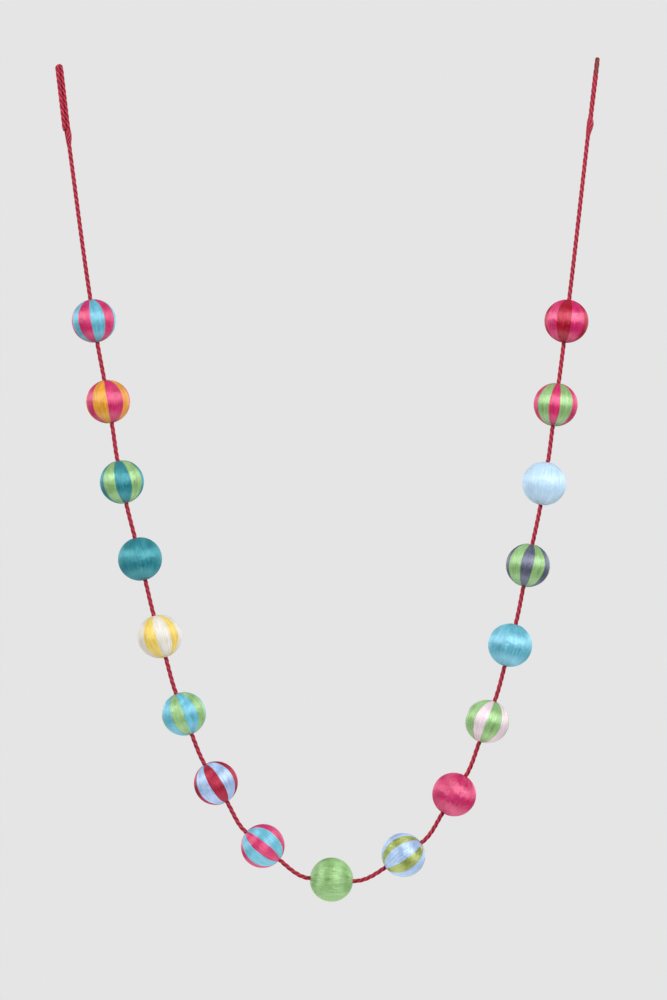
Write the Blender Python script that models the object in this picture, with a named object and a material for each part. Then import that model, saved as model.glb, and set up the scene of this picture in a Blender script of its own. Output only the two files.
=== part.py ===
"""Garland of thread-wound balls strung on one three-strand cord, with a spliced hanging loop at each end.

Metres, +Z up. The garland hangs in the XZ plane and faces -Y. The origin is the point inside the bend of
the left loop that bears on whatever the garland hangs from.
"""

import math

import bmesh
import bpy
from mathutils import Matrix, Vector

MM = 0.001
CLEARANCE = 0.3 * MM
FRONT = Vector((0.0, -1.0, 0.0))

# Cord: three strands laid up left-handed, one turn of a strand in each LAY.
CORD_DIAMETER = 3.5 * MM
CORD_RADIUS = CORD_DIAMETER / 2
STRANDS = 3
LAY = 17.5 * MM
RINGS_PER_TURN = 6
LOBE_HALF_ANGLE = math.radians(22.0)
GROOVE_RADIUS = 0.66 * CORD_RADIUS
BEND_STEP = math.radians(22.5)

# Balls: thread wound from pole to pole and back through a straight bore.
BALL_DIAMETER = 40.0 * MM
BALL_LENGTH = 38.8 * MM
LIP_DIAMETER = 6.8 * MM
LIP_DEPTH = 1.5 * MM
POLE_RATIO = 0.985
LATITUDE_STEP = 20
LATITUDES = range(70, -80, -LATITUDE_STEP)
BALL_STEPS = 20
GORES = 10
BALL_BORE_RADIUS = (CORD_RADIUS + CLEARANCE) / math.cos(math.pi / BALL_STEPS)

# Loops: a hairpin of the cord, its tail laid against the splice.
BEND_RADIUS = 2.0 * MM
LEG_SPACING = CORD_DIAMETER + CLEARANCE
TAIL_GAP = 0.45 * MM
LEG_FOOT = 7.0 * MM
SPLICE_STEPS = 16
SPLICE_BORE_RADIUS = (CORD_RADIUS + CLEARANCE) / math.cos(math.pi / SPLICE_STEPS)

# Each end, in millimetres: where the loop bears, the splice's two ends on the standing cord, and the
# direction from the loop's tail leg to its standing leg.
ENDS = {
    "left": {
        "hook": (0.0, 0.0, 0.0),
        "splice_top": (8.3, 0.0, -56.8),
        "splice_foot": (9.1, 0.0, -70.9),
        "side": (1.0, 0.0, 0.0),
    },
    "right": {
        "hook": (489.1, 0.0, 6.5),
        "splice_top": (483.0, 1.2, -44.1),
        "splice_foot": (480.6, 0.0, -61.8),
        "side": (-0.2, 0.98, 0.0),
    },
}

# Splice outlines. Columns: place along the splice from its top, half width and half depth in
# millimetres, and how far the outline stands off the standing cord in X and in Y, in millimetres.
SPLICES = {
    "left": (
        (0.00, 3.05, 2.45, -0.65, 0.0),
        (0.13, 2.75, 2.60, -0.30, 0.0),
        (0.42, 2.90, 2.75, 0.00, 0.0),
        (0.70, 2.50, 2.50, 0.00, 0.0),
        (1.00, 2.36, 2.36, 0.00, 0.0),
    ),
    "right": (
        (0.00, 2.60, 3.05, 0.20, -0.65),
        (0.26, 3.20, 2.90, 0.80, -0.40),
        (0.56, 2.95, 2.70, 0.55, -0.20),
        (0.76, 2.55, 2.50, 0.15, 0.00),
        (1.00, 2.36, 2.36, 0.00, 0.00),
    ),
}

# Balls along the cord. Columns: centre X and Z in millimetres, thread colours, and the angle in degrees
# from the front of the ball to a border where the first colour begins.
BALLS = (
    (31.5, -229.9, ("pink", "aqua"), 31),
    (44.4, -303.3, ("orange", "pink"), -40),
    (57.0, -376.3, ("teal", "green"), -17),
    (73.5, -446.3, ("teal",), 0),
    (91.4, -516.7, ("cream", "yellow"), -10),
    (113.4, -587.1, ("sky", "green"), 0),
    (142.4, -650.0, ("crimson", "pale blue"), -18),
    (185.1, -707.2, ("pink", "turquoise"), -24),
    (247.6, -737.8, ("green",), 0),
    (312.9, -715.4, ("pale blue", "olive"), 12),
    (359.0, -660.4, ("hot pink",), 0),
    (388.9, -594.0, ("green", "pale pink"), 2),
    (409.9, -524.6, ("aqua",), 0),
    (426.1, -452.1, ("slate", "green"), -20),
    (440.9, -377.7, ("ice blue",), 0),
    (451.3, -306.0, ("pink", "green"), -20),
    (461.1, -230.2, ("red", "pink"), -25),
)
FALLING_BALLS = 9

# Thread colours, sRGB.
COLOURS = {
    "cord red": (0.69, 0.16, 0.24),
    "pink": (0.84, 0.24, 0.43),
    "hot pink": (0.85, 0.20, 0.45),
    "aqua": (0.38, 0.72, 0.83),
    "turquoise": (0.35, 0.75, 0.80),
    "orange": (0.90, 0.62, 0.26),
    "teal": (0.24, 0.55, 0.61),
    "green": (0.55, 0.76, 0.47),
    "olive": (0.63, 0.71, 0.28),
    "yellow": (0.91, 0.77, 0.32),
    "cream": (0.94, 0.93, 0.88),
    "sky": (0.41, 0.73, 0.88),
    "pale blue": (0.69, 0.80, 0.94),
    "ice blue": (0.78, 0.90, 0.97),
    "crimson": (0.75, 0.18, 0.26),
    "red": (0.80, 0.15, 0.26),
    "pale pink": (0.94, 0.84, 0.90),
    "slate": (0.39, 0.39, 0.51),
}
THREAD_ROUGHNESS = 0.38
CORD_ROUGHNESS = 0.6


def clear_scene():
    for item in list(bpy.data.objects):
        bpy.data.objects.remove(item, do_unlink=True)


def linear(value):
    return value / 12.92 if value <= 0.04045 else ((value + 0.055) / 1.055) ** 2.4


def material(name, colour, roughness):
    """A Principled material of one thread colour."""
    made = bpy.data.materials.new(name)
    made.use_nodes = True
    shader = made.node_tree.nodes["Principled BSDF"]
    shader.inputs["Base Color"].default_value = [linear(part) for part in COLOURS[colour]] + [1.0]
    shader.inputs["Roughness"].default_value = roughness
    shader.inputs["Metallic"].default_value = 0.0
    return made


def skin(name, rings, closed):
    """One solid through rings of points: a closed one ends at its first ring, an open one is capped."""
    build = bmesh.new()
    rows = [[build.verts.new(point) for point in ring] for ring in rings]
    following = rows[1:] + rows[:1] if closed else rows[1:]
    for row, after in zip(rows, following):
        for step in range(len(row)):
            side = (step + 1) % len(row)
            build.faces.new((row[step], row[side], after[side], after[step]))
    if not closed:
        build.faces.new(rows[0])
        build.faces.new(rows[-1])
    bmesh.ops.recalc_face_normals(build, faces=build.faces)
    mesh = bpy.data.meshes.new(name)
    build.to_mesh(mesh)
    build.free()
    mesh.shade_smooth()
    item = bpy.data.objects.new(name, mesh)
    bpy.context.scene.collection.objects.link(item)
    return item


def ball_centres():
    return [Vector((x * MM, 0.0, z * MM)) for x, z, _, _ in BALLS]


def end_point(end, key):
    return Vector(ENDS[end][key]) * MM


def ball_directions():
    """Unit direction of the cord through each ball, from the left end to the right end."""
    line = [end_point("left", "splice_foot")] + ball_centres() + [end_point("right", "splice_foot")]
    headings = [(after - before).normalized() for before, after in zip(line, line[1:])]
    return [(one + two).normalized() for one, two in zip(headings, headings[1:])]


def pole(number, heading_sign):
    """Where the cord enters or leaves a ball, the balls counted from 0 or back from -1."""
    return ball_centres()[number] + ball_directions()[number] * (heading_sign * BALL_LENGTH / 2)


def leaving(end):
    """Heading of the cord as it leaves the foot of a splice for the nearest ball."""
    target = pole(0, -1) if end == "left" else pole(-1, 1)
    return (target - end_point(end, "splice_foot")).normalized()


def loop_knots(end):
    """Places and headings of the cord from its tail, round the loop and down to the foot of the splice."""
    hook = end_point(end, "hook")
    top = end_point(end, "splice_top")
    foot = end_point(end, "splice_foot")
    side = Vector(ENDS[end]["side"]).normalized()
    up = (hook - (top - side * LEG_SPACING / 2)).normalized()
    side = (side - up * side.dot(up)).normalized()
    tail = top - side * LEG_SPACING + up * TAIL_GAP
    bend = hook + up * (CORD_RADIUS - BEND_RADIUS)
    leg_foot = top + up * LEG_FOOT
    return [
        (tail, up),
        (bend - side * BEND_RADIUS, up),
        (bend + up * BEND_RADIUS, side),
        (bend + side * BEND_RADIUS, -up),
        (leg_foot, (top - bend - side * BEND_RADIUS).normalized()),
        (top, (foot - top).normalized()),
        (foot, leaving(end)),
    ]


def cord_knots():
    """Every place the cord passes with its heading, and whether it then runs hidden through a ball."""
    knots = [(place, heading, False) for place, heading in loop_knots("left")]
    for number, heading in enumerate(ball_directions()):
        knots.append((pole(number, -1), heading, True))
        knots.append((pole(number, 1), heading, False))
    knots += [(place, -heading, False) for place, heading in reversed(loop_knots("right"))]
    return knots


def span_point(start, end, place):
    """A point on the arc-like curve between two knots, place running from 0 to 1."""
    (p0, t0), (p1, t1) = start[:2], end[:2]
    turn = t0.angle(t1)
    pull = (p1 - p0).length
    if turn > 0.001:
        pull *= 2 * math.tan(turn / 4) / math.sin(turn / 2)
    rest = 1 - place
    ends = p0 * (rest * rest * (1 + 2 * place)) + p1 * (place * place * (3 - 2 * place))
    return ends + t0 * (pull * place * rest * rest) - t1 * (pull * place * place * rest)


def span_places(start, end):
    """Even places along a span, close enough for the lay of the strands and for its bend."""
    if start[2]:
        return (0.0, 1.0)
    length = (end[0] - start[0]).length
    count = math.ceil(length * RINGS_PER_TURN / LAY)
    count = max(count, math.ceil(start[1].angle(end[1]) / BEND_STEP))
    return [step / count for step in range(count + 1)]


def cord_stations():
    """Centre, heading and hidden flag of each ring of the cord."""
    knots = cord_knots()
    stations = []
    for start, end in zip(knots, knots[1:]):
        for place in span_places(start, end)[:-1]:
            stations.append((span_point(start, end, place), start[2]))
    stations.append((knots[-1][0], False))
    points = [point for point, _ in stations]
    headings = [knots[0][1]]
    headings += [(after - before).normalized() for before, after in zip(points, points[2:])]
    headings.append(knots[-1][1])
    return [(point, heading, hidden) for (point, hidden), heading in zip(stations, headings)]


def cord_section():
    """Angle and radius of the points round the cord: two on each strand's crown and one in each groove."""
    pitch = 2 * math.pi / STRANDS
    section = []
    for strand in range(STRANDS):
        section.append((strand * pitch - LOBE_HALF_ANGLE, CORD_RADIUS))
        section.append((strand * pitch + LOBE_HALF_ANGLE, CORD_RADIUS))
        section.append(((strand + 0.5) * pitch, GROOVE_RADIUS))
    return section


def make_cord():
    rings = []
    turn = 0.0
    across = FRONT
    section = cord_section()
    stations = cord_stations()
    for index, (point, heading, _) in enumerate(stations):
        if index:
            before, last_heading, hidden = stations[index - 1]
            across = last_heading.rotation_difference(heading) @ across
            if not hidden:
                turn -= 2 * math.pi * (point - before).length / LAY
        across = (across - heading * across.dot(heading)).normalized()
        over = heading.cross(across)
        rings.append([
            point + across * (radius * math.cos(angle + turn)) + over * (radius * math.sin(angle + turn))
            for angle, radius in section
        ])
    cord = skin("cord", rings, closed=False)
    cord.data.materials.append(material("cord", "cord red", CORD_ROUGHNESS))


def make_splice(end):
    """The opened strands of the tail, laid round the standing cord and bound into one tapered sleeve."""
    knots = loop_knots(end)[-2:]
    heading = knots[0][1]
    wide = Vector((1.0, 0.0, 0.0))
    wide = (wide - heading * wide.dot(heading)).normalized()
    deep = wide.cross(heading)
    angles = [2 * math.pi * step / SPLICE_STEPS for step in range(SPLICE_STEPS)]
    outer = []
    inner = []
    for place, half_width, half_depth, off_x, off_y in SPLICES[end]:
        centre = span_point(*knots, place)
        shifted = centre + wide * (off_x * MM) + deep * (off_y * MM)
        outer.append([
            shifted + (wide * (half_width * math.cos(angle)) + deep * (half_depth * math.sin(angle))) * MM
            for angle in angles
        ])
        inner.append([
            centre + (wide * math.cos(angle) + deep * math.sin(angle)) * SPLICE_BORE_RADIUS
            for angle in angles
        ])
    splice = skin(f"splice_{end}", outer + inner[::-1], closed=True)
    splice.data.materials.append(material(f"splice_{end}", "cord red", CORD_ROUGHNESS))


def ball_profile():
    """Radius and height of the ball's turned outline, from the top of its bore round to the bottom."""
    spread = 1 / math.cos(math.radians(LATITUDE_STEP / 2))
    half = BALL_LENGTH / 2
    profile = [(BALL_BORE_RADIUS, half - LIP_DEPTH), (LIP_DIAMETER / 2, half)]
    for latitude in LATITUDES:
        angle = math.radians(latitude)
        radius = BALL_DIAMETER / 2 * math.cos(angle) * spread
        height = BALL_DIAMETER / 2 * math.sin(angle) * spread * POLE_RATIO
        profile.append((radius, height))
    return profile + [(LIP_DIAMETER / 2, -half), (BALL_BORE_RADIUS, LIP_DEPTH - half)]


def make_ball(number, centre, up, colours, border):
    """One ball, its local Z along the bore and its gores counted from the given border."""
    rings = []
    for radius, height in ball_profile():
        ring = []
        for step in range(BALL_STEPS):
            angle = math.radians(border) + 2 * math.pi * step / BALL_STEPS
            ring.append(Vector((radius * math.sin(angle), -radius * math.cos(angle), height)))
        rings.append(ring)
    name = f"ball_{number:02d}"
    ball = skin(name, rings, closed=True)
    turned = Matrix((up.cross(FRONT), -FRONT, up)).transposed().to_4x4()
    ball.matrix_world = Matrix.Translation(centre) @ turned
    for colour in colours:
        ball.data.materials.append(material(f"{name} {colour}", colour, THREAD_ROUGHNESS))
    for face in ball.data.polygons:
        step = face.index % BALL_STEPS
        face.material_index = (step * GORES // BALL_STEPS) % len(colours)


def make_balls():
    """All balls along the cord; each one's up points to its higher pole."""
    rows = zip(BALLS, ball_centres(), ball_directions())
    for number, ((_, _, colours, border), centre, heading) in enumerate(rows, start=1):
        up = -heading if number <= FALLING_BALLS else heading
        make_ball(number, centre, up, colours, border)


def main():
    clear_scene()
    make_cord()
    make_splice("left")
    make_splice("right")
    make_balls()


main()
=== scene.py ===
"""Looks of the thread-ball garland: its wound balls, its laid cord and the splices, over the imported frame.

Metres, +Z up, in the frame's own axes: the garland hangs in the XZ plane and faces -Y.
"""

import math

import bpy
import numpy as np
from mathutils import Matrix, Vector

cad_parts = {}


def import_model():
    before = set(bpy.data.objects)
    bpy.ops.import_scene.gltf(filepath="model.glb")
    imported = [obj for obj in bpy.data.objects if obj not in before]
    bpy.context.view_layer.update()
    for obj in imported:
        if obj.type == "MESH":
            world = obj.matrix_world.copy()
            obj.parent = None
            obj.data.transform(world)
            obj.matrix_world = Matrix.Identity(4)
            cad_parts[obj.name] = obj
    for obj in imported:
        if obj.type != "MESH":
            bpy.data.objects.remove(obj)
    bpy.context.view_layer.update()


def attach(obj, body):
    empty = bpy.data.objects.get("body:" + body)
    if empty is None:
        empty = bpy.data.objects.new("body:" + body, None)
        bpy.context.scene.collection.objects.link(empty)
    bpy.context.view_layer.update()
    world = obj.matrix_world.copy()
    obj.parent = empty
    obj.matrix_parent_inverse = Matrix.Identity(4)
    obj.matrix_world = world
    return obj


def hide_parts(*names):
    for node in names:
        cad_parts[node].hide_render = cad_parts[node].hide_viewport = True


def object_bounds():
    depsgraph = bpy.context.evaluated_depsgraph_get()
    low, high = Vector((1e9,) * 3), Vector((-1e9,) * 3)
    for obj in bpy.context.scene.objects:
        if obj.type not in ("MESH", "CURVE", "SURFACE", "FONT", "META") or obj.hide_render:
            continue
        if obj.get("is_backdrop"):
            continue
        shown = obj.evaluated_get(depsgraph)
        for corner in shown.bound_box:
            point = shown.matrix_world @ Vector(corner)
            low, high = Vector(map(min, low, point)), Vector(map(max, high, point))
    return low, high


MM = 0.001
FRONT = Vector((0.0, -1.0, 0.0))
SEED = 41

# The cord's route, as the solids have it, with each loop's legs drawn together until they touch.
CORD_DIAMETER = 3.5 * MM
CORD_RADIUS = CORD_DIAMETER / 2
LAY = 17.5 * MM
BEND_RADIUS = 1.75 * MM
LEG_SPACING = CORD_DIAMETER
# How far each tail ends above the top of its splice, and its share of the legs' spacing there.
TAILS = {"left": (0.1 * MM, 1.0), "right": (-3.0 * MM, 0.5)}
LEG_FOOT = 7.0 * MM
# Headings that turn by less than this, in radians, count as straight on.
STRAIGHT = 0.001
BALL_RADIUS = 20.0 * MM
BALL_LENGTH = 38.8 * MM
POLE_RATIO = 0.985
GORES = 10
FALLING_BALLS = 9

# Each end, in millimetres: where the loop bears, the splice's two ends on the standing cord, and the
# direction from the loop's tail leg to its standing leg.
ENDS = {
    "left": {
        "hook": (0.0, 0.0, 0.0),
        "splice_top": (8.3, 0.0, -56.8),
        "splice_foot": (9.1, 0.0, -70.9),
        "side": (0.93, 0.37, 0.0),
    },
    "right": {
        "hook": (489.1, 0.0, 6.5),
        "splice_top": (483.0, 1.2, -44.1),
        "splice_foot": (480.6, 0.0, -61.8),
        "side": (-0.2, 0.98, 0.0),
    },
}

# Splice outlines. Columns: place along the splice from its top, half width and half depth in
# millimetres, and how far the outline stands off the standing cord in X and in Y, in millimetres.
SPLICES = {
    "left": (
        (0.00, 3.30, 2.70, -0.90, -0.4),
        (0.13, 2.95, 2.70, -0.45, -0.2),
        (0.42, 3.00, 2.75, 0.00, 0.0),
        (0.72, 2.45, 2.45, 0.00, 0.0),
        (1.00, 1.90, 1.90, 0.00, 0.0),
    ),
    "right": (
        (0.00, 1.45, 2.60, -0.15, -0.95),
        (0.12, 2.55, 3.20, 0.20, -0.75),
        (0.32, 3.25, 2.90, 0.80, -0.40),
        (0.58, 3.00, 2.70, 0.60, -0.20),
        (0.78, 2.45, 2.45, 0.15, 0.00),
        (1.00, 1.90, 1.90, 0.00, 0.00),
    ),
}

# Where a strand's end is tucked in, as a dent: the place along the splice.
TUCKS = {"left": None, "right": 0.3}

# Balls along the cord. Columns: material slot, centre X and Z in millimetres, the thread left of the
# first border and the thread right of it, and the borders between gores that show from the front, in
# degrees round the ball from its middle, left to right with the higher pole up.
BALLS = (
    ("thread_pink_and_aqua", 31.5, -229.9, ("pink", "aqua"), (-69.5, -41, -5, 33, 71.5)),
    ("thread_pink_and_orange", 44.4, -303.3, ("pink", "orange"), (-40.5, 0.5, 46, 78)),
    ("thread_teal_and_green", 57.0, -376.3, ("teal", "green"), (-53.5, -15, 27.5, 66)),
    ("thread_teal", 73.5, -446.3, ("teal",), ()),
    ("thread_cream_and_yellow", 91.4, -516.7, ("cream", "yellow"), (-44, -7, 33, 57)),
    ("thread_green_and_sky_blue", 113.4, -587.1, ("green", "sky"), (-73.5, -31.5, 1.5, 38.5, 77.5)),
    ("thread_crimson_and_pale_blue", 142.4, -650.0, ("crimson", "pale blue"), (-55, -14.5, 19, 58)),
    ("thread_pink_and_turquoise", 185.1, -707.2, ("pink", "turquoise"), (-54, -16.5, 15, 51)),
    ("thread_green", 247.6, -737.8, ("leaf green",), ()),
    ("thread_pale_blue_and_olive", 312.9, -715.4, ("pale blue", "olive"), (-59, -33, 8, 38.5)),
    ("thread_hot_pink", 359.0, -660.4, ("hot pink",), ()),
    ("thread_green_and_pale_pink", 388.9, -594.0, ("pale pink", "green"), (-80, -36, -4, 36.5, 74)),
    ("thread_aqua", 409.9, -524.6, ("bright aqua",), ()),
    ("thread_slate_and_green", 426.1, -452.1, ("slate", "green"), (-63, -21.5, 11, 45.5)),
    ("thread_ice_blue", 440.9, -377.7, ("ice blue",), ()),
    ("thread_pink_and_green", 451.3, -306.0, ("pink", "green"), (-56.5, -20, 8.5, 47)),
    ("thread_red_and_pink", 461.1, -230.2, ("red", "light pink"), (-68, -30, 10, 52)),
)

# Thread colours, sRGB.
COLOURS = {
    "cord red": (0.56, 0.05, 0.12),
    "rubbed brown": (0.36, 0.19, 0.15),
    "pink": (0.81, 0.15, 0.41),
    "light pink": (0.84, 0.06, 0.41),
    "hot pink": (0.79, 0.05, 0.38),
    "aqua": (0.40, 0.71, 0.80),
    "bright aqua": (0.40, 0.72, 0.81),
    "turquoise": (0.43, 0.74, 0.83),
    "orange": (0.90, 0.63, 0.20),
    "teal": (0.16, 0.49, 0.54),
    "green": (0.55, 0.72, 0.46),
    "leaf green": (0.52, 0.69, 0.43),
    "olive": (0.51, 0.56, 0.21),
    "yellow": (0.95, 0.82, 0.40),
    "cream": (0.88, 0.86, 0.82),
    "sky": (0.40, 0.72, 0.81),
    "pale blue": (0.65, 0.77, 0.92),
    "ice blue": (0.76, 0.88, 0.99),
    "crimson": (0.59, 0.10, 0.20),
    "red": (0.64, 0.03, 0.14),
    "pale pink": (0.89, 0.82, 0.85),
    "slate": (0.32, 0.33, 0.40),
}

# How far a thread's gleam is from its own colour towards white, and the gleams set by themselves.
GLEAM_WHITE = 0.38
OWN_GLEAMS = {
    "crimson": (1.0, 0.16, 0.24),
    "red": (1.0, 0.26, 0.36),
    "teal": (0.26, 0.70, 0.76),
    "slate": (0.56, 0.60, 0.76),
    "cord red": (0.9, 0.15, 0.22),
}

# Deep and light tones set by themselves, sRGB. The cord's deep tone is painted shade in the grooves between
# its strands, and its light tone a painted highlight on their crowns. The pale blue's deep tone is also the
# bluer colour of its painted shade in the grooves and at the poles.
OWN_TONES = {
    "cord red": ((0.33, 0.02, 0.07), (0.73, 0.24, 0.32)),
    "pale blue": ((0.42, 0.53, 0.86), (0.74, 0.87, 0.99)),
}

# Any other deep tone is a share of the thread's colour: a least share, more in a pale colour, and more in
# the colour's strongest part. The light tone is a multiple of the colour, less in a pale one.
DEEP_LEAST = 0.1
DEEP_PALE = 0.75
DEEP_STRONGEST = 0.3
LIGHT_GAIN = 1.4
LIGHT_PALE_LOSS = 0.22
LIGHTEST = 0.98

# How glossy the threads are, as an index of refraction, and those that are glossier or duller.
GLOSS = 2.0
OWN_GLOSS = {
    "cream": 1.5,
    "yellow": 1.65,
    "ice blue": 1.7,
    "orange": 1.8,
    "aqua": 1.9,
    "turquoise": 1.9,
    "bright aqua": 2.2,
    "hot pink": 2.2,
    "light pink": 2.3,
    "green": 2.1,
    "pale blue": 2.4,
    "olive": 2.4,
}

# Finish of the wound thread and of the cord, with how much painted shade darkens the grooves between threads
# and painted light lightens their crowns, and how far the roughness strays from turn to turn.
THREAD_FINISH = {"roughness": 0.42, "anisotropy": 0.95, "grooves": 0.4}
CORD_FINISH = {"roughness": 0.6, "anisotropy": 0.5, "grooves": 1.4}
ROUGHNESS_SPREAD = (-0.06, 0.08)

# Streaks along the threads: how often they change in a bundle's width and in a millimetre along it. The
# glints rock the surface, because each turn lies a little unevenly and its gleam breaks up.
FINE_STREAKS = (2.8, 0.11)
BROAD_STREAKS = (1.4, 0.16)
GLINTS = (2.4, 0.35)
ROCK = 0.9
STREAK_DETAIL = 2.0
STREAK_ROUGHNESS = 0.6
# Millimetres by which the streaks of one bundle may be shifted along it against another's.
BUNDLE_SLIP = 90.0

# A thread's tone: the weight of its bundle and of its streaks, how high its crown usually counts, how wide
# the tones spread, also with the painted shade in the grooves and painted light on the crowns, and where its
# middle colour lies among them.
BUNDLE_TONE = 0.2
FINE_TONE = 0.8
BROAD_TONE = 0.5
USUAL_CROWN = 0.47
TONE_SPREAD = 0.3
GROOVE_SPREAD = 0.6
MIDDLE_TONE = 0.55

# Single turns of thread, in the bump alone.
TURNS_A_BUNDLE = 5
TURN_RELIEF = 0.25
BUMP_STRENGTH = 0.5
BUMP_DEPTH = 0.06 * MM

# Wound thread: bundles of a few turns lie side by side from pole to pole, each with its own crown.
COLUMNS = 480
BUNDLE_COLUMNS = (3, 4, 5, 6)
LATITUDE_RINGS = 37
TOP_LATITUDE = 80.0
MOUTH_RINGS = 5
MOUTH_DEPTH = 2.0 * MM
MOUTH_RADIUS = 2.0 * MM
CROWN = 0.09 * MM
THREAD_CROWN = 0.015 * MM
BUNDLE_LIFT = 0.06 * MM
POLE_HEAP = 0.16 * MM
# How full a bundle's crown is, the height in it that lies on the ball's surface, and how it flattens
# towards the poles.
CROWN_FULLNESS = 0.5
CROWN_LEVEL = 0.7
CROWN_FLATTENING = 0.7
# How fast a bundle rises and sinks from pole to pole, and the share of that in its grooves.
LIFT_RATES = (1, 3)
GROOVE_LIFT = 0.4
# How often the turns heap up round the poles.
HEAPS = (11, 17, 29)
# How far the bundles wander round the ball, in radians, and in which waves: how many there are round the
# ball, and how fast they shift from pole to pole.
WANDER = 0.008
WANDERS = ((3, 2.5), (7, -3.5), (13, 4.5))
# Painted shade at the poles: how much lower the tone's crown is taken there, growing towards each pole.
POLE_SHADE = 0.7
# The span of a wave's random start.
ANY_PHASE = 6.28

# Cord strands: their own yarns run nearly along the cord.
STRANDS = 3
STRAND_RADIUS = 1.25 * MM
STRAND_OFFSET = 0.78 * MM
STRAND_SIDES = 14
RING_SPACING = 0.9 * MM
LEAST_RINGS = 4
YARN_RIDGE = 0.035 * MM
YARN_TURNS = 2.05
# Out to this share of the cord's reach its surface counts as the bottom of a groove, painted deep as shade,
# and how steeply its tone rises beyond that to the painted highlight on the crowns.
GROOVE_REACH = 0.66
GROOVE_FADE = 4
# The cut ends are rounded off over this length, down to this share of their thickness, with rings at
# these millimetres from the end.
END_ROUND = 1.3 * MM
END_FULLNESS = 0.12
END_STEPS = (0.0, 0.06, 0.22, 0.5)
# The bend of the right loop is browner out to the first of these distances, and as red as the rest from the
# second one. It is also thinner there by this share, because it is pulled tight.
BEND_REACH = (9.0 * MM, 13.0 * MM)
BEND_SQUEEZE = 0.1
# What parts the streaks of one strand from the next one's.
STRAND_SHIFT = 20

# Splice: the tail's opened strands, laid down the standing cord.
SPLICE_COLUMNS = 132
SPLICE_RINGS = 44
SPLICE_LOCKS = 6
YARNS_A_LOCK = 4
SPLICE_RIDGE = 0.26 * MM
SPLICE_YARN = 0.07 * MM
# How full the locks' ridges are, and the heights in them and in the yarns' that lie on the outline.
LOCK_FULLNESS = 0.7
LOCK_LEVEL = 0.75
YARN_LEVEL = 0.6
# What the ridges have lost of their height at the foot.
SPLICE_FADE = 0.65
# For their tone, which paints shade low between the locks and the yarns, the locks' and the yarns' parts in
# how high the strands lie, and how steeply it falls.
TONE_PARTS = (0.8, 0.2)
TONE_STEEPNESS = 1.5
# How far along the splice its outline is smoothed each way, over how many places.
SPLICE_SMOOTHING = 0.12
SMOOTHING_PLACES = 9
# Each lock thins by its own part of this, most of it near the foot.
SPLICE_THINNING = 0.5 * MM
THINNING_POWER = 5
# The dent's depth, and its reach as a share of the splice's length and in radians round it.
SPLICE_DENT = 0.4 * MM
DENT_REACH = (0.035, 0.45)
# The rounded lip at the top, and the share of the splice that it takes.
SPLICE_LIP = 0.15 * MM
LIP_SHARE = 0.05
# The skin's inside, sunk into the cord, has one ring to so many outside.
SPLICE_BORE = 1.3 * MM
BORE_STEP = 4
# Turns of the locks round the cord from top to foot, most of them near the foot.
SPLICE_TWIST = -0.55
TWIST_POWER = 1.6
# Millimetres of thread that the streaks take a splice to be long.
SPLICE_THREAD = 16

# Camera: the photograph's frame, 667 by 1000 pixels, with 0.909 mm to a pixel in the garland's plane.
PIXEL = 0.909 * MM
FRAME_SIZE = (667, 1000)
ORIGIN_PIXEL = (59.2, 68.0)
LENS = 100.0
FILM_HEIGHT = 24.0

# Floor: how far it lies below the garland and its size, in metres, and its darkest and palest grey.
FLOOR_DROP = 0.60
FLOOR_SIZE = (1.8, 1.3)
FLOOR_GREYS = (0.74, 0.80)

# Flat soft lights. Columns: name, azimuth from the front towards +X and elevation in degrees, distance,
# width and height in metres, and power in watts.
LIGHTS = (
    ("key", 34, 24, 3.2, 3.0, 2.4, 124),
    ("side", -68, 24, 3.2, 1.5, 1.8, 60),
    ("bounce", -140, -80, 0.92, 1.8, 0.9, 4.4),
    ("back_left", 221, 3, 3.2, 1.6, 1.6, 31),
    ("back_right", 139, 3, 3.2, 1.6, 1.6, 30),
)

# The grey that the camera sees, and the even light's strength from in front of the garland and from behind.
SEEN_GREY = 0.783
WORLD_FRONT = 0.03
WORLD_BACK = 0.42


def linear(value):
    return value / 12.92 if value <= 0.04045 else ((value + 0.055) / 1.055) ** 2.4


def link_object(name, data):
    item = bpy.data.objects.new(name, data)
    bpy.context.scene.collection.objects.link(item)
    return item


def make_camera():
    data = bpy.data.cameras.new("camera")
    data.sensor_fit = "VERTICAL"
    data.sensor_height = FILM_HEIGHT
    data.lens = LENS
    data.clip_end = 50.0
    camera = link_object("camera", data)
    width, height = FRAME_SIZE
    distance = height * PIXEL * LENS / FILM_HEIGHT
    across = (width / 2 - ORIGIN_PIXEL[0]) * PIXEL
    up = (ORIGIN_PIXEL[1] - height / 2) * PIXEL
    camera.location = (across, -distance, up)
    camera.rotation_euler = (math.radians(90.0), 0.0, 0.0)
    bpy.context.scene.camera = camera


# The route repeats the one that the solids follow.


def ball_centres():
    return [Vector((x * MM, 0.0, z * MM)) for _, x, z, _, _ in BALLS]


def end_point(end, key):
    return Vector(ENDS[end][key]) * MM


def ball_directions():
    """Unit direction of the cord through each ball, from the left end to the right end."""
    line = [end_point("left", "splice_foot")] + ball_centres() + [end_point("right", "splice_foot")]
    headings = [(after - before).normalized() for before, after in zip(line, line[1:])]
    return [(one + two).normalized() for one, two in zip(headings, headings[1:])]


def pole(number, heading_sign):
    return ball_centres()[number] + ball_directions()[number] * (heading_sign * BALL_LENGTH / 2)


def leaving(end):
    target = pole(0, -1) if end == "left" else pole(-1, 1)
    return (target - end_point(end, "splice_foot")).normalized()


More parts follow.
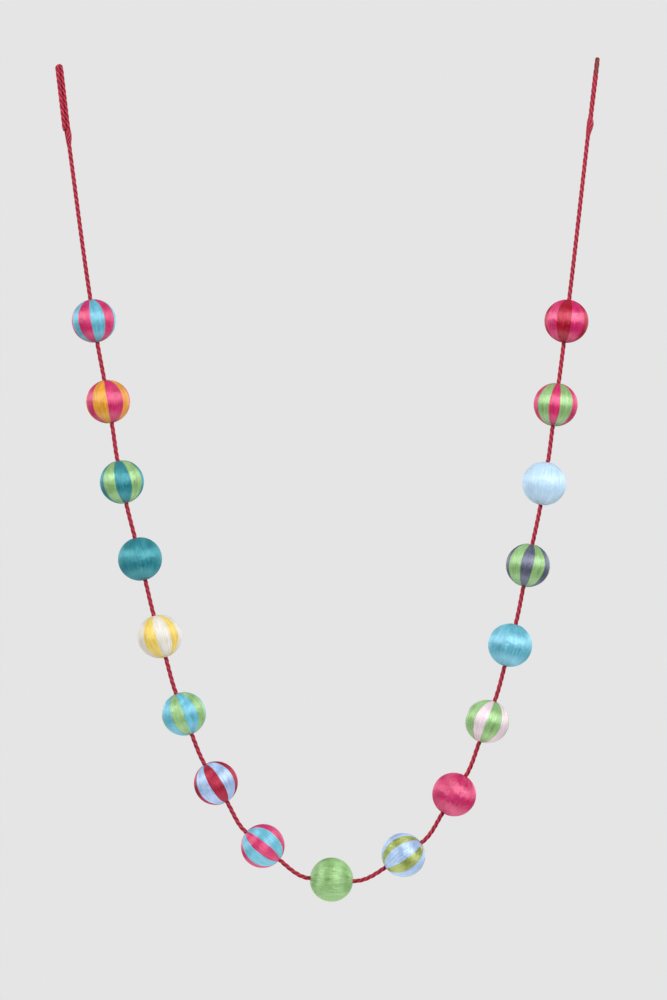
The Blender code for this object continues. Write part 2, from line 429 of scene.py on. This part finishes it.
def loop_knots(end):
    """Places and headings of the cord from its tail, round the loop and down to the foot of the splice."""
    hook = end_point(end, "hook")
    top = end_point(end, "splice_top")
    foot = end_point(end, "splice_foot")
    side = Vector(ENDS[end]["side"]).normalized()
    up = (hook - (top - side * LEG_SPACING / 2)).normalized()
    side = (side - up * side.dot(up)).normalized()
    above, share = TAILS[end]
    tail = top - side * LEG_SPACING * share + up * above
    bend = hook + up * (CORD_RADIUS - BEND_RADIUS)
    leg_foot = top + up * LEG_FOOT
    return [
        (tail, up),
        (bend - side * BEND_RADIUS, up),
        (bend + up * BEND_RADIUS, side),
        (bend + side * BEND_RADIUS, -up),
        (leg_foot, (top - bend - side * BEND_RADIUS).normalized()),
        (top, (foot - top).normalized()),
        (foot, leaving(end)),
    ]


def cord_knots():
    """Every place the cord passes with its heading, and whether it then runs hidden through a ball."""
    knots = [(place, heading, False) for place, heading in loop_knots("left")]
    for number, heading in enumerate(ball_directions()):
        knots.append((pole(number, -1), heading, True))
        knots.append((pole(number, 1), heading, False))
    knots += [(place, -heading, False) for place, heading in reversed(loop_knots("right"))]
    return knots


def span_point(start, end, place):
    """A point on the arc-like curve between two knots, place running from 0 to 1."""
    (p0, t0), (p1, t1) = start[:2], end[:2]
    turn = t0.angle(t1)
    pull = (p1 - p0).length
    if turn > STRAIGHT:
        pull *= 2 * math.tan(turn / 4) / math.sin(turn / 2)
    rest = 1 - place
    ends = p0 * (rest * rest * (1 + 2 * place)) + p1 * (place * place * (3 - 2 * place))
    return ends + t0 * (pull * place * rest * rest) - t1 * (pull * place * place * rest)


def cord_stations():
    """Centre, heading, side vector and strand turn of each ring of the cord."""
    knots = cord_knots()
    stations = []
    for start, end in zip(knots, knots[1:]):
        length = (end[0] - start[0]).length
        count = 1 if start[2] else max(LEAST_RINGS, math.ceil(length / RING_SPACING))
        places = [step / count for step in range(count)]
        if start is knots[0]:
            places = [step * MM / length for step in END_STEPS] + places[1:]
        stations += [(span_point(start, end, place), start[2]) for place in places]
    first, last = [(knots[place][0], knots[place][1]) for place in (0, -1)]
    stations += [(last[0] - last[1] * (step * MM), False) for step in reversed(END_STEPS)]
    points = [point for point, _ in stations]
    headings = [first[1]] + [(b - a).normalized() for a, b in zip(points, points[2:])] + [last[1]]
    rows = []
    across = FRONT
    turn = 0.0
    for index, (point, hidden) in enumerate(stations):
        if index:
            across = headings[index - 1].rotation_difference(headings[index]) @ across
            if not stations[index - 1][1]:
                turn -= 2 * math.pi * (point - points[index - 1]).length / LAY
        across = (across - headings[index] * across.dot(headings[index])).normalized()
        rows.append((point, headings[index], across, turn))
    return rows


def grid_object(name, points, turns, lengths, crowns, closed, flip=False):
    """A skin over a grid of points, rows by columns, closed round its columns and capped or closed at its
    rows. Its map "threads" has the turns across the threads and the lengths along them, and its attribute
    "crown" runs from 0 in the grooves between threads to 1 on their crowns."""
    rows, columns = points.shape[:2]
    index = np.arange(rows * columns).reshape(rows, columns)
    here = index if closed else index[:-1]
    below = np.roll(index, -1, axis=0) if closed else index[1:]
    quads = np.stack([here, np.roll(here, -1, 1), np.roll(below, -1, 1), below], axis=-1)
    u_here = np.broadcast_to(turns[:-1], here.shape)
    u_next = np.broadcast_to(turns[1:], here.shape)
    v_here = np.broadcast_to(lengths[:len(here), None], here.shape)
    v_below = np.broadcast_to(lengths[1:len(here) + 1, None], here.shape)
    corners_u = np.stack([u_here, u_next, u_next, u_here], axis=-1)
    corners_v = np.stack([v_here, v_here, v_below, v_below], axis=-1)
    if flip:
        quads, corners_u, corners_v = (grid[..., ::-1] for grid in (quads, corners_u, corners_v))
    faces = quads.reshape(-1, 4).tolist()
    spots = np.stack([corners_u.reshape(-1), corners_v.reshape(-1)], axis=-1)
    if not closed:
        for ring, place in ((index[0][::-1], 0), (index[-1], -1)):
            faces.append((ring[::-1] if flip else ring).tolist())
            spots = np.vstack([spots, np.tile((turns[0], lengths[place]), (columns, 1))])
    mesh = bpy.data.meshes.new(name)
    mesh.from_pydata(points.reshape(-1, 3).tolist(), [], faces)
    layer = mesh.uv_layers.new(name="threads")
    layer.uv.foreach_set("vector", spots.astype(np.float32).ravel())
    # The crown is read by the tone, which paints shade in the grooves and light on the crowns.
    raised = mesh.attributes.new("crown", "FLOAT", "POINT")
    raised.data.foreach_set("value", np.clip(crowns, 0, 1).astype(np.float32).ravel())
    mesh.shade_smooth()
    return link_object(name, mesh)


def join(name, items):
    """Joins objects into the first and names it."""
    with bpy.context.temp_override(active_object=items[0], selected_editable_objects=items):
        bpy.ops.object.join()
    items[0].name = name
    items[0].data.name = name
    return items[0]


def make_cord():
    """The cord's three strands, each a tube with its own yarns, laid up along the route."""
    stations = cord_stations()
    centres = np.array([row[0] for row in stations])
    headings = np.array([row[1] for row in stations])
    across = np.array([row[2] for row in stations])
    over = np.cross(headings, across)
    turn = np.array([row[3] for row in stations])
    steps = np.linalg.norm(np.diff(centres, axis=0), axis=1)
    length = np.concatenate([[0.0], np.cumsum(steps)])
    inset = np.minimum(length, length[-1] - length).clip(0, END_ROUND) / END_ROUND
    fullness = np.sqrt(inset * (2 - inset)).clip(END_FULLNESS, 1)
    bend = np.array(end_point("right", "hook"))
    near_bend = np.interp(np.linalg.norm(centres - bend, axis=1), BEND_REACH, (1.0, 0.0))
    fullness = fullness * (1 - BEND_SQUEEZE * near_bend)
    strands = []
    for strand in range(STRANDS):
        angle = turn + 2 * math.pi * strand / STRANDS
        outward = across * np.cos(angle)[:, None] + over * np.sin(angle)[:, None]
        middle = centres + outward * (STRAND_OFFSET * fullness)[:, None]
        along = np.gradient(middle, axis=0)
        along /= np.linalg.norm(along, axis=1)[:, None]
        outward -= along * (outward * along).sum(1)[:, None]
        outward /= np.linalg.norm(outward, axis=1)[:, None]
        beside = np.cross(along, outward)
        sides = 2 * math.pi * np.arange(STRAND_SIDES) / STRAND_SIDES
        round_angle = sides[None, :] - YARN_TURNS * turn[:, None]
        ridge = np.where(np.arange(STRAND_SIDES) % 2 == 0, YARN_RIDGE, -YARN_RIDGE)
        radius = (STRAND_RADIUS + ridge)[None, :] * fullness[:, None]
        ring = outward[:, None, :] * (radius * np.cos(round_angle))[..., None]
        ring += beside[:, None, :] * (radius * np.sin(round_angle))[..., None]
        points = middle[:, None, :] + ring
        turns = np.arange(STRAND_SIDES + 1) / 2 + strand * STRAND_SHIFT
        # The crown: 0 in the grooves between strands, where the tone paints shade, up to 1 on their crowns,
        # where it paints a highlight.
        reach = np.linalg.norm(points - centres[:, None, :], axis=2) / (STRAND_OFFSET + STRAND_RADIUS)
        crowns = ((reach - GROOVE_REACH) / (1 - GROOVE_REACH)).clip(0, 1) ** GROOVE_FADE
        strands.append(grid_object(f"strand_{strand}", points, turns, length / MM, crowns, closed=False))
    for strand in strands:
        bend_layer = strand.data.attributes.new("near_bend", "FLOAT", "POINT")
        bend_layer.data.foreach_set("value", np.repeat(near_bend, STRAND_SIDES).astype(np.float32))
    cord = join("laid_cord", strands)
    cord.data.materials.append(thread_material("cord red", **CORD_FINISH))
    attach(cord, "root")
    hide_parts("cord")
    return cord, centres, float(length[-1])


def splice_outline(end, places):
    """Half width, half depth and the two offsets of a splice at each place, smoothed along it."""
    table = np.array(SPLICES[end])
    spread = np.linspace(-SPLICE_SMOOTHING, SPLICE_SMOOTHING, SMOOTHING_PLACES)
    near = np.clip(places[:, None] + spread, 0, 1)
    return [np.interp(near, table[:, 0], column).mean(1) * MM for column in table.T[1:]]


def make_splice(end):
    """The tail's strands, opened and laid down the standing cord, tapering into it."""
    knots = loop_knots(end)[-2:]
    heading = knots[0][1]
    wide = Vector((1.0, 0.0, 0.0))
    wide = (wide - heading * wide.dot(heading)).normalized()
    deep = np.array(wide.cross(heading))
    wide = np.array(wide)
    places = np.linspace(0, 1, SPLICE_RINGS)
    middle = np.array([span_point(*knots, place) for place in places])
    half_width, half_depth, off_x, off_y = splice_outline(end, places)
    angle = 2 * math.pi * np.arange(SPLICE_COLUMNS) / SPLICE_COLUMNS
    lean = 2 * math.pi * SPLICE_TWIST * places ** TWIST_POWER
    phase = SPLICE_LOCKS * (angle[None, :] - lean[:, None])
    locks = np.abs(np.sin(phase / 2))
    yarns = np.abs(np.sin(phase * (YARNS_A_LOCK / 2)))
    fade = (1 - SPLICE_FADE * places)[:, None]
    ridges = SPLICE_RIDGE * (locks ** LOCK_FULLNESS - LOCK_LEVEL) + SPLICE_YARN * (yarns - YARN_LEVEL)
    relief = fade * ridges
    thinned = np.random.default_rng(SEED).uniform(0, SPLICE_THINNING, SPLICE_LOCKS)
    own = np.floor(phase / (2 * math.pi)).astype(int) % SPLICE_LOCKS
    relief = relief - thinned[own] * places[:, None] ** THINNING_POWER
    if TUCKS[end]:
        reach_along, reach_round = DENT_REACH
        along = (places - TUCKS[end])[:, None] / reach_along
        around = ((angle + math.pi) % (2 * math.pi) - math.pi)[None, :] / reach_round
        relief = relief - SPLICE_DENT * np.exp(-along ** 2 - around ** 2)
    lip = SPLICE_LIP * (1 - np.sqrt(np.clip(places / LIP_SHARE, 0, 1)))[:, None]
    reach_x = half_width[:, None] + relief - lip
    reach_y = half_depth[:, None] + relief - lip
    shifted = middle + np.outer(off_x, wide) + np.outer(off_y, deep)
    outer = shifted[:, None, :] + (reach_x * np.cos(angle))[..., None] * wide
    outer += (reach_y * np.sin(angle))[..., None] * deep
    bore = middle[::-BORE_STEP, None, :] + SPLICE_BORE * (
        np.cos(angle)[:, None] * wide + np.sin(angle)[:, None] * deep
    )
    points = np.concatenate([outer, bore])
    turns = np.arange(SPLICE_COLUMNS + 1) * SPLICE_LOCKS * YARNS_A_LOCK / SPLICE_COLUMNS
    lengths = np.concatenate([places * SPLICE_THREAD, SPLICE_THREAD + np.arange(len(bore) + 1)])
    # The tone's crown, low between the locks and the yarns for painted shade.
    raised = (TONE_PARTS[0] * locks ** 2 + TONE_PARTS[1] * yarns) ** TONE_STEEPNESS
    crowns = np.concatenate([raised, np.zeros(bore.shape[:2])])
    splice = grid_object(f"opened_strands_{end}", points, turns, lengths, crowns, closed=True)
    splice.data.materials.append(thread_material("cord red", **CORD_FINISH))
    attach(splice, "root")
    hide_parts(f"splice_{end}")
    return splice


def gore_spans(borders):
    """Start and width in degrees of each gore from the first border; the hidden ones share the back."""
    if not borders:
        return [(0.0, 360.0)]
    hidden = GORES - len(borders)
    again = borders[0] + 360
    step = (again - borders[-1]) / (hidden + 1)
    starts = list(borders) + [borders[-1] + step * count for count in range(1, hidden + 1)]
    return [(start, stop - start) for start, stop in zip(starts, starts[1:] + [again])]


def bundle_columns(borders, draw):
    """Angle, crown, bundle, place across the bundle and gore of each column of points round a ball."""
    angles, crowns, bundles, shares, gores = [], [], [], [], []
    bundle = 0
    for gore, (start, width) in enumerate(gore_spans(borders)):
        count = round(COLUMNS * width / 360)
        filled = 0
        while filled < count:
            size = int(draw.choice(BUNDLE_COLUMNS))
            left = count - filled
            if left < 2 * max(BUNDLE_COLUMNS):
                size = left if left <= max(BUNDLE_COLUMNS) else left // 2
            for step in range(size):
                angles.append(math.radians(start + width * (filled + step) / count))
                crowns.append(math.sin(math.pi * step / size) ** CROWN_FULLNESS if step else 0.0)
                bundles.append(bundle)
                shares.append(step / size)
                gores.append(gore)
            filled += size
            bundle += 1
    return [np.array(row) for row in (angles, crowns, bundles, shares, gores)]


def ball_rings():
    """Radius and height of each ring, from the top of the bore over the ball and back up the bore."""
    edge = math.radians(TOP_LATITUDE)
    edge_radius = BALL_RADIUS * math.cos(edge)
    edge_height = BALL_RADIUS * math.sin(edge) * POLE_RATIO
    mouth = []
    for step in range(MOUTH_RINGS):
        angle = math.pi / 2 * step / MOUTH_RINGS
        radius = edge_radius - (edge_radius - MOUTH_RADIUS) * math.cos(angle)
        height = edge_height - MOUTH_DEPTH + MOUTH_DEPTH * math.sin(angle)
        mouth.append((radius, height))
    latitudes = np.radians(np.linspace(TOP_LATITUDE, -TOP_LATITUDE, LATITUDE_RINGS))
    body = [(BALL_RADIUS * math.cos(a), BALL_RADIUS * math.sin(a) * POLE_RATIO) for a in latitudes]
    bore = [(MOUTH_RADIUS, height) for height in (-BALL_LENGTH / 4, 0.0, BALL_LENGTH / 4)]
    return np.array(mouth + body + [(r, -z) for r, z in reversed(mouth)] + bore)


def make_ball(number, centre, up, row):
    """One ball wound pole to pole, its local Z along the bore."""
    slot, _, _, colours, borders = row
    draw = np.random.default_rng(SEED + number)
    angles, crowns, bundles, shares, gores = bundle_columns(borders, draw)
    rings = ball_rings()
    along = np.roll(rings, -1, axis=0) - np.roll(rings, 1, axis=0)
    normal = np.stack([-along[:, 1], along[:, 0]], axis=1)
    normal /= np.linalg.norm(normal, axis=1)[:, None]
    size = rings[:, :1] / BALL_RADIUS
    height = rings[:, 1:] / (BALL_LENGTH / 2)
    count = bundles.max() + 1
    lifts = draw.uniform(-1, 1, count)
    phases = draw.uniform(0, ANY_PHASE, count)
    rates = draw.uniform(*LIFT_RATES, count)
    lift = lifts[bundles] * np.sin(rates[bundles] * height * 2 + phases[bundles])
    heap = sum(
        np.sin(lobes * angles[None, :] + draw.uniform(0, ANY_PHASE) + 2 * height) for lobes in HEAPS
    )
    relief = CROWN * size ** CROWN_FLATTENING * (crowns[None, :] - CROWN_LEVEL)
    relief = relief + THREAD_CROWN * size * np.where(np.arange(len(angles)) % 2, 1, -1)
    relief = relief + BUNDLE_LIFT * size * lift * (GROOVE_LIFT + crowns[None, :])
    relief = relief + POLE_HEAP / len(HEAPS) * (1 - size) ** 2 * heap
    drift = sum(
        np.sin(lobes * angles[None, :] + draw.uniform(0, ANY_PHASE) + rate * height)
        for lobes, rate in WANDERS
    )
    turned = angles[None, :] + WANDER * drift
    radius = rings[:, :1] + normal[:, :1] * relief
    level = rings[:, 1:] + normal[:, 1:] * relief
    points = np.stack([radius * np.sin(turned), -radius * np.cos(turned), level], axis=-1)
    turns = np.append(bundles + shares, count)
    steps = np.linalg.norm(np.diff(np.vstack([rings, rings[:1]]), axis=0), axis=1)
    lengths = np.concatenate([[0.0], np.cumsum(steps)]) / MM
    name = f"wound_{number:02d}"
    # The tone's crown: low in the grooves and near the poles, for painted shade there, and high on the
    # crowns.
    raised = 0.5 + (relief - relief.mean()) / (4 * relief.std()) - POLE_SHADE * (1 - size) ** 3
    ball = grid_object(name, points, turns, lengths, raised, closed=True, flip=True)
    for colour in colours:
        ball.data.materials.append(thread_material(colour, **THREAD_FINISH))
    if borders:
        order = np.tile((gores + 1) % 2, len(rings)).astype(np.int32)
        ball.data.polygons.foreach_set("material_index", order)
    frame_axes = Matrix((up.cross(FRONT), -FRONT, up)).transposed().to_4x4()
    ball.matrix_world = Matrix.Translation(centre) @ frame_axes
    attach(ball, "root")
    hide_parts(f"ball_{number:02d}")
    return ball


def make_balls():
    balls = []
    for number, (row, centre, heading) in enumerate(zip(BALLS, ball_centres(), ball_directions()), start=1):
        up = -heading if number <= FALLING_BALLS else heading
        balls.append(make_ball(number, centre, up, row))
    return balls


class Nodes:
    """Adds nodes to a material's tree and links them."""

    def __init__(self, tree):
        self.tree = tree

    def add(self, kind, settings=None, **inputs):
        """A new node. An input is given by its name, or as i and its number."""
        node = self.tree.nodes.new(kind)
        for key, value in (settings or {}).items():
            setattr(node, key, value)
        for key, value in inputs.items():
            socket = node.inputs[int(key[1:])] if key[1:].isdigit() else node.inputs[key]
            self.feed(socket, value)
        return node

    def feed(self, socket, value):
        """Sets a socket, or links it to another node's output."""
        if isinstance(value, bpy.types.NodeSocket):
            self.tree.links.new(value, socket)
        else:
            socket.default_value = value

    def math(self, operation, one, two=0.0):
        return self.add("ShaderNodeMath", {"operation": operation}, i0=one, i1=two).outputs[0]

    def vector(self, operation, one, two):
        return self.add("ShaderNodeVectorMath", {"operation": operation}, i0=one, i1=two).outputs[0]

    def streaks(self, place, across, along):
        """Noise drawn out along the threads, which lie across X and along Y."""
        scaled = self.vector("MULTIPLY", place, (across, along, 1.0))
        noise = self.add(
            "ShaderNodeTexNoise", {"noise_dimensions": "2D"},
            Vector=scaled, Scale=1.0, Detail=STREAK_DETAIL, Roughness=STREAK_ROUGHNESS,
        )
        return noise.outputs[0]

    def rocked(self, tangent, rise):
        """The surface normal, rocked along the threads by a rise that runs from 0 to 1."""
        normal = self.add("ShaderNodeNewGeometry").outputs["Normal"]
        along = self.vector("CROSS_PRODUCT", normal, tangent)
        amount = self.math("MULTIPLY", self.math("SUBTRACT", rise, 0.5), ROCK)
        shift = self.add("ShaderNodeVectorMath", {"operation": "SCALE"}, i0=along, Scale=amount)
        leaning = self.vector("ADD", normal, shift.outputs[0])
        return self.add("ShaderNodeVectorMath", {"operation": "NORMALIZE"}, i0=leaning).outputs[0]


def thread_tones(colour):
    """Deep, middle and light colour of a thread and the tint of its gleam, made linear. The deep colour is
    also that of the painted shade in the grooves.
    """
    middle = np.array([linear(part) for part in COLOURS[colour]])
    share = middle / middle.max()
    kept = DEEP_LEAST + DEEP_PALE * middle.mean() + DEEP_STRONGEST * share
    deep = kept.clip(DEEP_LEAST, 1) * middle
    light = np.minimum((LIGHT_GAIN - LIGHT_PALE_LOSS * middle.mean()) * middle, LIGHTEST)
    if colour in OWN_TONES:
        deep, light = [[linear(part) for part in tone] for tone in OWN_TONES[colour]]
    gleam = OWN_GLEAMS.get(colour, (1 - GLEAM_WHITE) * share + GLEAM_WHITE)
    return [[*map(float, tone), 1.0] for tone in (deep, middle, light, gleam)]


def thread_material(colour, roughness, anisotropy, grooves):
    """Satin thread, its tone uneven from bundle to bundle and turn to turn, with painted shade deep in the
    grooves and painted light on the crowns.
    """
    name = f"thread {colour}"
    if name in bpy.data.materials:
        return bpy.data.materials[name]
    made = bpy.data.materials.new(name)
    made.use_nodes = True
    nodes = Nodes(made.node_tree)
    shader = made.node_tree.nodes["Principled BSDF"]
    mapped = nodes.add("ShaderNodeUVMap", {"uv_map": "threads"}).outputs["UV"]
    parts = nodes.add("ShaderNodeSeparateXYZ", i0=mapped)
    number = nodes.math("FLOOR", parts.outputs["X"])
    bundle = nodes.add("ShaderNodeTexWhiteNoise", {"noise_dimensions": "1D"}, W=number).outputs["Value"]
    slipped = nodes.math("ADD", parts.outputs["Y"], nodes.math("MULTIPLY", bundle, BUNDLE_SLIP))
    place = nodes.add("ShaderNodeCombineXYZ", i0=parts.outputs["X"], i1=slipped).outputs[0]
    fine = nodes.streaks(place, *FINE_STREAKS)
    broad = nodes.streaks(place, *BROAD_STREAKS)
    # The crown paints shade in the grooves and light on the crowns.
    crown = nodes.add("ShaderNodeAttribute", {"attribute_name": "crown"}).outputs["Fac"]
    tone = nodes.math("MULTIPLY", bundle, BUNDLE_TONE)
    for part, weight in ((fine, FINE_TONE), (broad, BROAD_TONE), (crown, grooves)):
        tone = nodes.math("ADD", tone, nodes.math("MULTIPLY", part, weight))
    usual = (BUNDLE_TONE + FINE_TONE + BROAD_TONE) / 2 + USUAL_CROWN * grooves
    reach = TONE_SPREAD + GROOVE_SPREAD * grooves
    low = usual - MIDDLE_TONE * reach
    spread = nodes.add("ShaderNodeMapRange", i0=tone, i1=low, i2=low + reach).outputs[0]
    ramp = nodes.add("ShaderNodeValToRGB", i0=spread)
    deep, middle, light, gleam = thread_tones(colour)
    ramp.color_ramp.elements[0].color = deep
    ramp.color_ramp.elements[1].color = light
    ramp.color_ramp.elements.new(MIDDLE_TONE).color = middle
    painted = ramp.outputs["Color"]
    # Browner near the bend of the right loop.
    if colour == "cord red":
        near_bend = nodes.add("ShaderNodeAttribute", {"attribute_name": "near_bend"}).outputs["Fac"]
        brown = thread_tones("rubbed brown")[1]
        mixed = nodes.add("ShaderNodeMix", {"data_type": "RGBA"}, i0=near_bend, i6=painted, i7=brown)
        painted = mixed.outputs[2]
    nodes.feed(shader.inputs["Base Color"], painted)
    smooth, rough = [roughness + part for part in ROUGHNESS_SPREAD]
    gloss = nodes.add("ShaderNodeMapRange", i0=fine, i3=smooth, i4=rough)
    nodes.feed(shader.inputs["Roughness"], gloss.outputs[0])
    turn = nodes.math("MULTIPLY", parts.outputs["X"], 2 * math.pi * TURNS_A_BUNDLE)
    turn = nodes.math("MULTIPLY", nodes.math("SINE", turn), TURN_RELIEF)
    height = nodes.math("ADD", turn, fine)
    tangent = nodes.add("ShaderNodeTangent", {"direction_type": "UV_MAP", "uv_map": "threads"}).outputs[0]
    nodes.feed(shader.inputs["Tangent"], tangent)
    rocked = nodes.rocked(tangent, nodes.streaks(place, *GLINTS))
    bump = nodes.add(
        "ShaderNodeBump", Strength=BUMP_STRENGTH, Distance=BUMP_DEPTH, Height=height, Normal=rocked,
    )
    nodes.feed(shader.inputs["Normal"], bump.outputs["Normal"])
    shader.inputs["Anisotropic"].default_value = anisotropy
    shader.inputs["IOR"].default_value = OWN_GLOSS.get(colour, GLOSS)
    shader.inputs["Specular IOR Level"].default_value = 1.0
    shader.inputs["Specular Tint"].default_value = gleam
    return made


def make_floor():
    """A plain pale floor below the garland, and out of the photograph's frame."""
    low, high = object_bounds()
    middle = (Vector(low) + Vector(high)) / 2
    bpy.ops.mesh.primitive_plane_add(size=1.0, location=(middle.x, 0.0, low[2] - FLOOR_DROP))
    floor = bpy.context.object
    floor.scale = (*FLOOR_SIZE, 1.0)
    floor.name = "floor"
    made = bpy.data.materials.new("floor")
    made.use_nodes = True
    nodes = Nodes(made.node_tree)
    shader = made.node_tree.nodes["Principled BSDF"]
    grain = nodes.add("ShaderNodeTexNoise", Scale=9.0, Detail=3.0).outputs[0]
    darkest, palest = FLOOR_GREYS
    level = nodes.add("ShaderNodeMapRange", i0=grain, i3=darkest, i4=palest).outputs[0]
    colour = nodes.add("ShaderNodeCombineColor", i0=level, i1=level, i2=level).outputs[0]
    nodes.feed(shader.inputs["Base Color"], colour)
    shader.inputs["Roughness"].default_value = 0.9
    floor.data.materials.append(made)
    floor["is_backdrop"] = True


def make_light(name, azimuth, elevation, distance, width, height, power, target):
    """A flat soft light at a distance from the target and turned to it."""
    data = bpy.data.lights.new(name, "AREA")
    data.shape = "RECTANGLE"
    data.size = width
    data.size_y = height
    data.energy = power
    light = link_object(name, data)
    light.visible_camera = False
    azimuth, elevation = math.radians(azimuth), math.radians(elevation)
    level = math.cos(elevation)
    out = Vector((math.sin(azimuth) * level, -math.cos(azimuth) * level, math.sin(elevation)))
    light.location = target + out * distance
    light.rotation_euler = out.to_track_quat("Z", "Y").to_euler()


def make_lights():
    low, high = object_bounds()
    target = (Vector(low) + Vector(high)) / 2
    for row in LIGHTS:
        make_light(*row, target)


def make_world():
    """Pale grey seen by the camera, and a dimmer soft light on the garland, most of it from behind."""
    world = bpy.data.worlds.new("studio")
    bpy.context.scene.world = world
    world.use_nodes = True
    nodes = Nodes(world.node_tree)
    world.node_tree.nodes.clear()
    seen = nodes.add("ShaderNodeBackground", Color=(SEEN_GREY, SEEN_GREY, SEEN_GREY, 1.0), Strength=1.0)
    heading = nodes.add("ShaderNodeTexCoord").outputs["Generated"]
    depth = nodes.add("ShaderNodeSeparateXYZ", i0=heading).outputs["Y"]
    strength = nodes.add("ShaderNodeMapRange", i0=depth, i1=-1.0, i2=1.0, i3=WORLD_FRONT, i4=WORLD_BACK)
    lit = nodes.add("ShaderNodeBackground", Color=(1.0, 1.0, 1.0, 1.0), Strength=strength.outputs[0])
    path = nodes.add("ShaderNodeLightPath")
    mixed = nodes.add("ShaderNodeMixShader", i0=path.outputs["Is Camera Ray"])
    nodes.feed(mixed.inputs[1], lit.outputs[0])
    nodes.feed(mixed.inputs[2], seen.outputs[0])
    output = nodes.add("ShaderNodeOutputWorld")
    nodes.feed(output.inputs["Surface"], mixed.outputs[0])
    bpy.context.scene.view_settings.view_transform = "Standard"


def main():
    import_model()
    make_camera()
    cord, path, length = make_cord()
    splices = [make_splice(end) for end in ENDS]
    balls = make_balls()
    make_floor()
    make_lights()
    make_world()


main()
